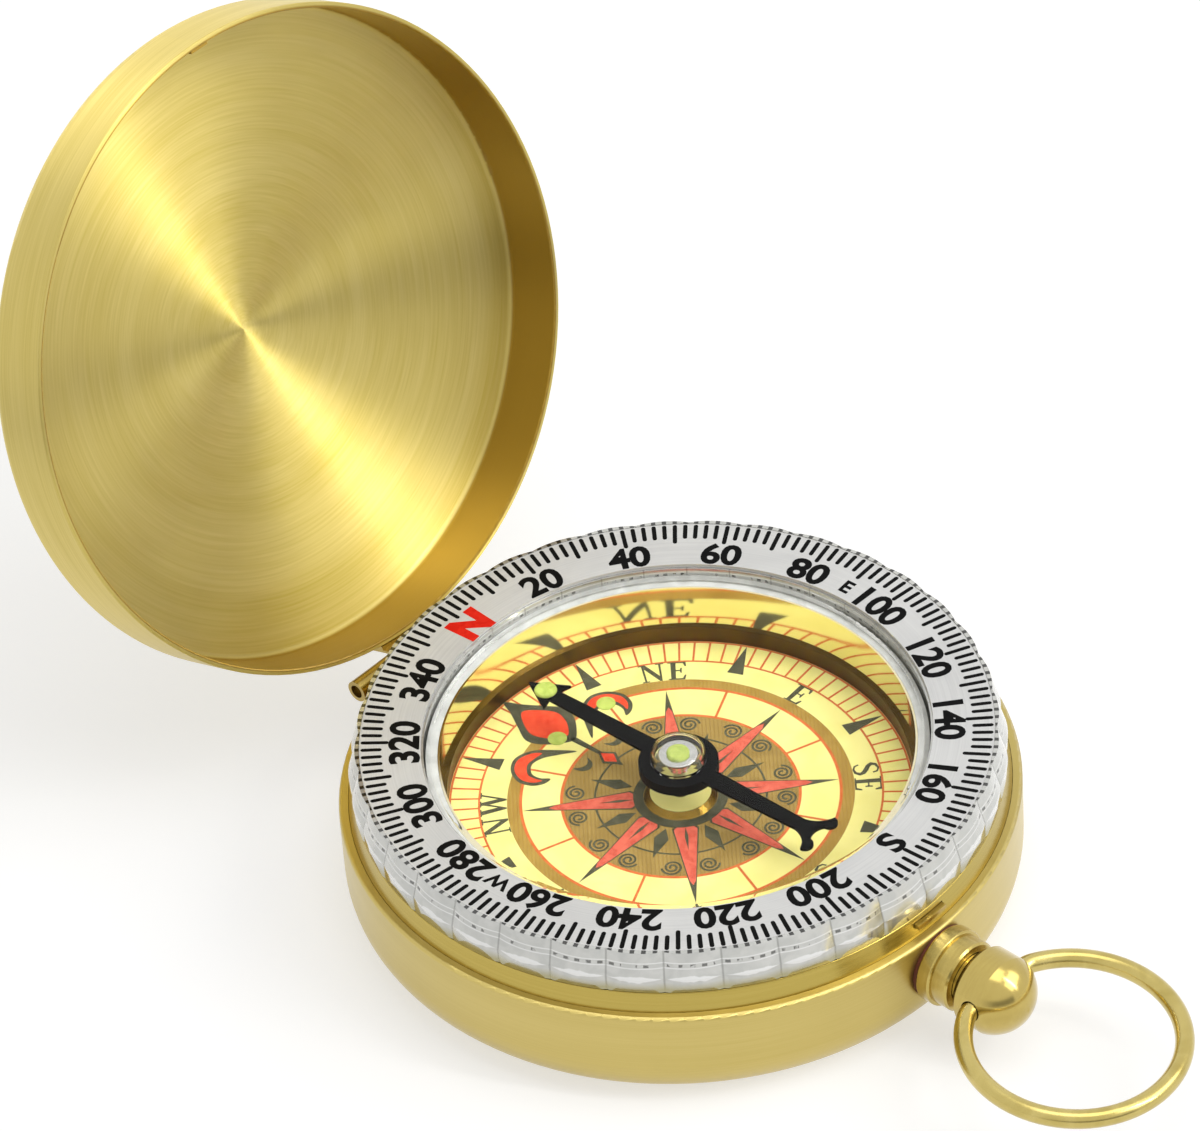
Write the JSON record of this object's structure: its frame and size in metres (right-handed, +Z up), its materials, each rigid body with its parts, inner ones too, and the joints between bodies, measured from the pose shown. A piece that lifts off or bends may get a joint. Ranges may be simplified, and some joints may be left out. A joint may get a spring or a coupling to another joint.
{
  "type": "pocket compass",
  "caption": "Brass pocket compass with a hinged domed lid, a clear turning bezel with a degree scale, a luminous rose dial, a black needle, and a push crown that carries a bow ring.",
  "frame": {"origin": "The middle of the case's flat underside, on the axis of the needle.", "axes": "+Z is up, square to the dial. +X points out of the crown, and the lid's hinge is on the -X side with its axis along Y."},
  "size_m": [0.0946, 0.05, 0.0552],
  "materials": {
    "spun_brass": "satin",
    "polished_brass": "polished",
    "hinge_brass": "satin",
    "clear_acrylic": "gloss",
    "silver_scale": "satin",
    "dial_print": "matte",
    "bronze_band": "satin",
    "bright_liner": "polished",
    "black_needle": "matte",
    "luminous_paint": "matte",
    "bright_steel": "brushed",
    "spring_steel": "brushed",
    "seat_plastic": "matte",
    "slip_plastic": "satin",
    "fibre_washer": "matte"
  },
  "bodies": {
    "case": {"case_shell": "spun_brass", "mouth_band": "polished_brass", "capsule_cup": "slip_plastic", "capsule_seat": "seat_plastic", "crystal": "clear_acrylic", "slip_washer": "slip_plastic", "dial_card": "dial_print", "dial_band": "bronze_band", "mirror_liner": "bright_liner", "pivot_base": "bronze_band", "pivot_post": "bright_steel", "case_knuckles": "hinge_brass", "hinge_pin": "bright_steel", "saddle_washer": "fibre_washer", "collar": "polished_brass", "return_spring": "spring_steel"},
    "lid": {"lid_shell": "spun_brass", "lid_knuckle": "hinge_brass"},
    "bezel": {"bezel_ring": "clear_acrylic", "scale_ring": "silver_scale"},
    "needle": {"needle": "black_needle", "bearing_cap": "clear_acrylic", "jewel": "clear_acrylic", "hub_washer": "bright_steel", "hub_lume": "luminous_paint", "hub_dome": "clear_acrylic", "north_lume": "luminous_paint"},
    "crown": {"crown": "polished_brass", "stem": "bright_steel", "stem_clip": "spring_steel", "latch_tongue": "spring_steel"},
    "bow": {"bow_ring": "polished_brass"}
  },
  "joints": [
    {"name": "lid_hinge", "type": "hinge", "parent": "case", "child": "lid", "pos_m": [-0.026, 0, 0.0075], "axis": [0, 1, 0], "range_deg": [0, 109.4]},
    {"name": "bezel_turn", "type": "hinge", "parent": "case", "child": "bezel", "pos_m": [0, 0, 0.0113], "axis": [0, 0, 1], "continuous": true},
    {"name": "needle_swing", "type": "hinge", "parent": "case", "child": "needle", "pos_m": [0, 0, 0.0106], "axis": [0, 0, 1], "continuous": true},
    {"name": "crown_push", "type": "slide", "parent": "case", "child": "crown", "axis": [-1, 0, 0], "range_m": [0, 0.0005], "stiffness_N_per_m": 3000, "deforming": ["return_spring"]},
    {"name": "bow_swing", "type": "hinge", "parent": "crown", "child": "bow", "pos_m": [0.03025, 0, 0.0058], "axis": [0, 1, 0], "range_deg": [-100, 92]}
  ]
}
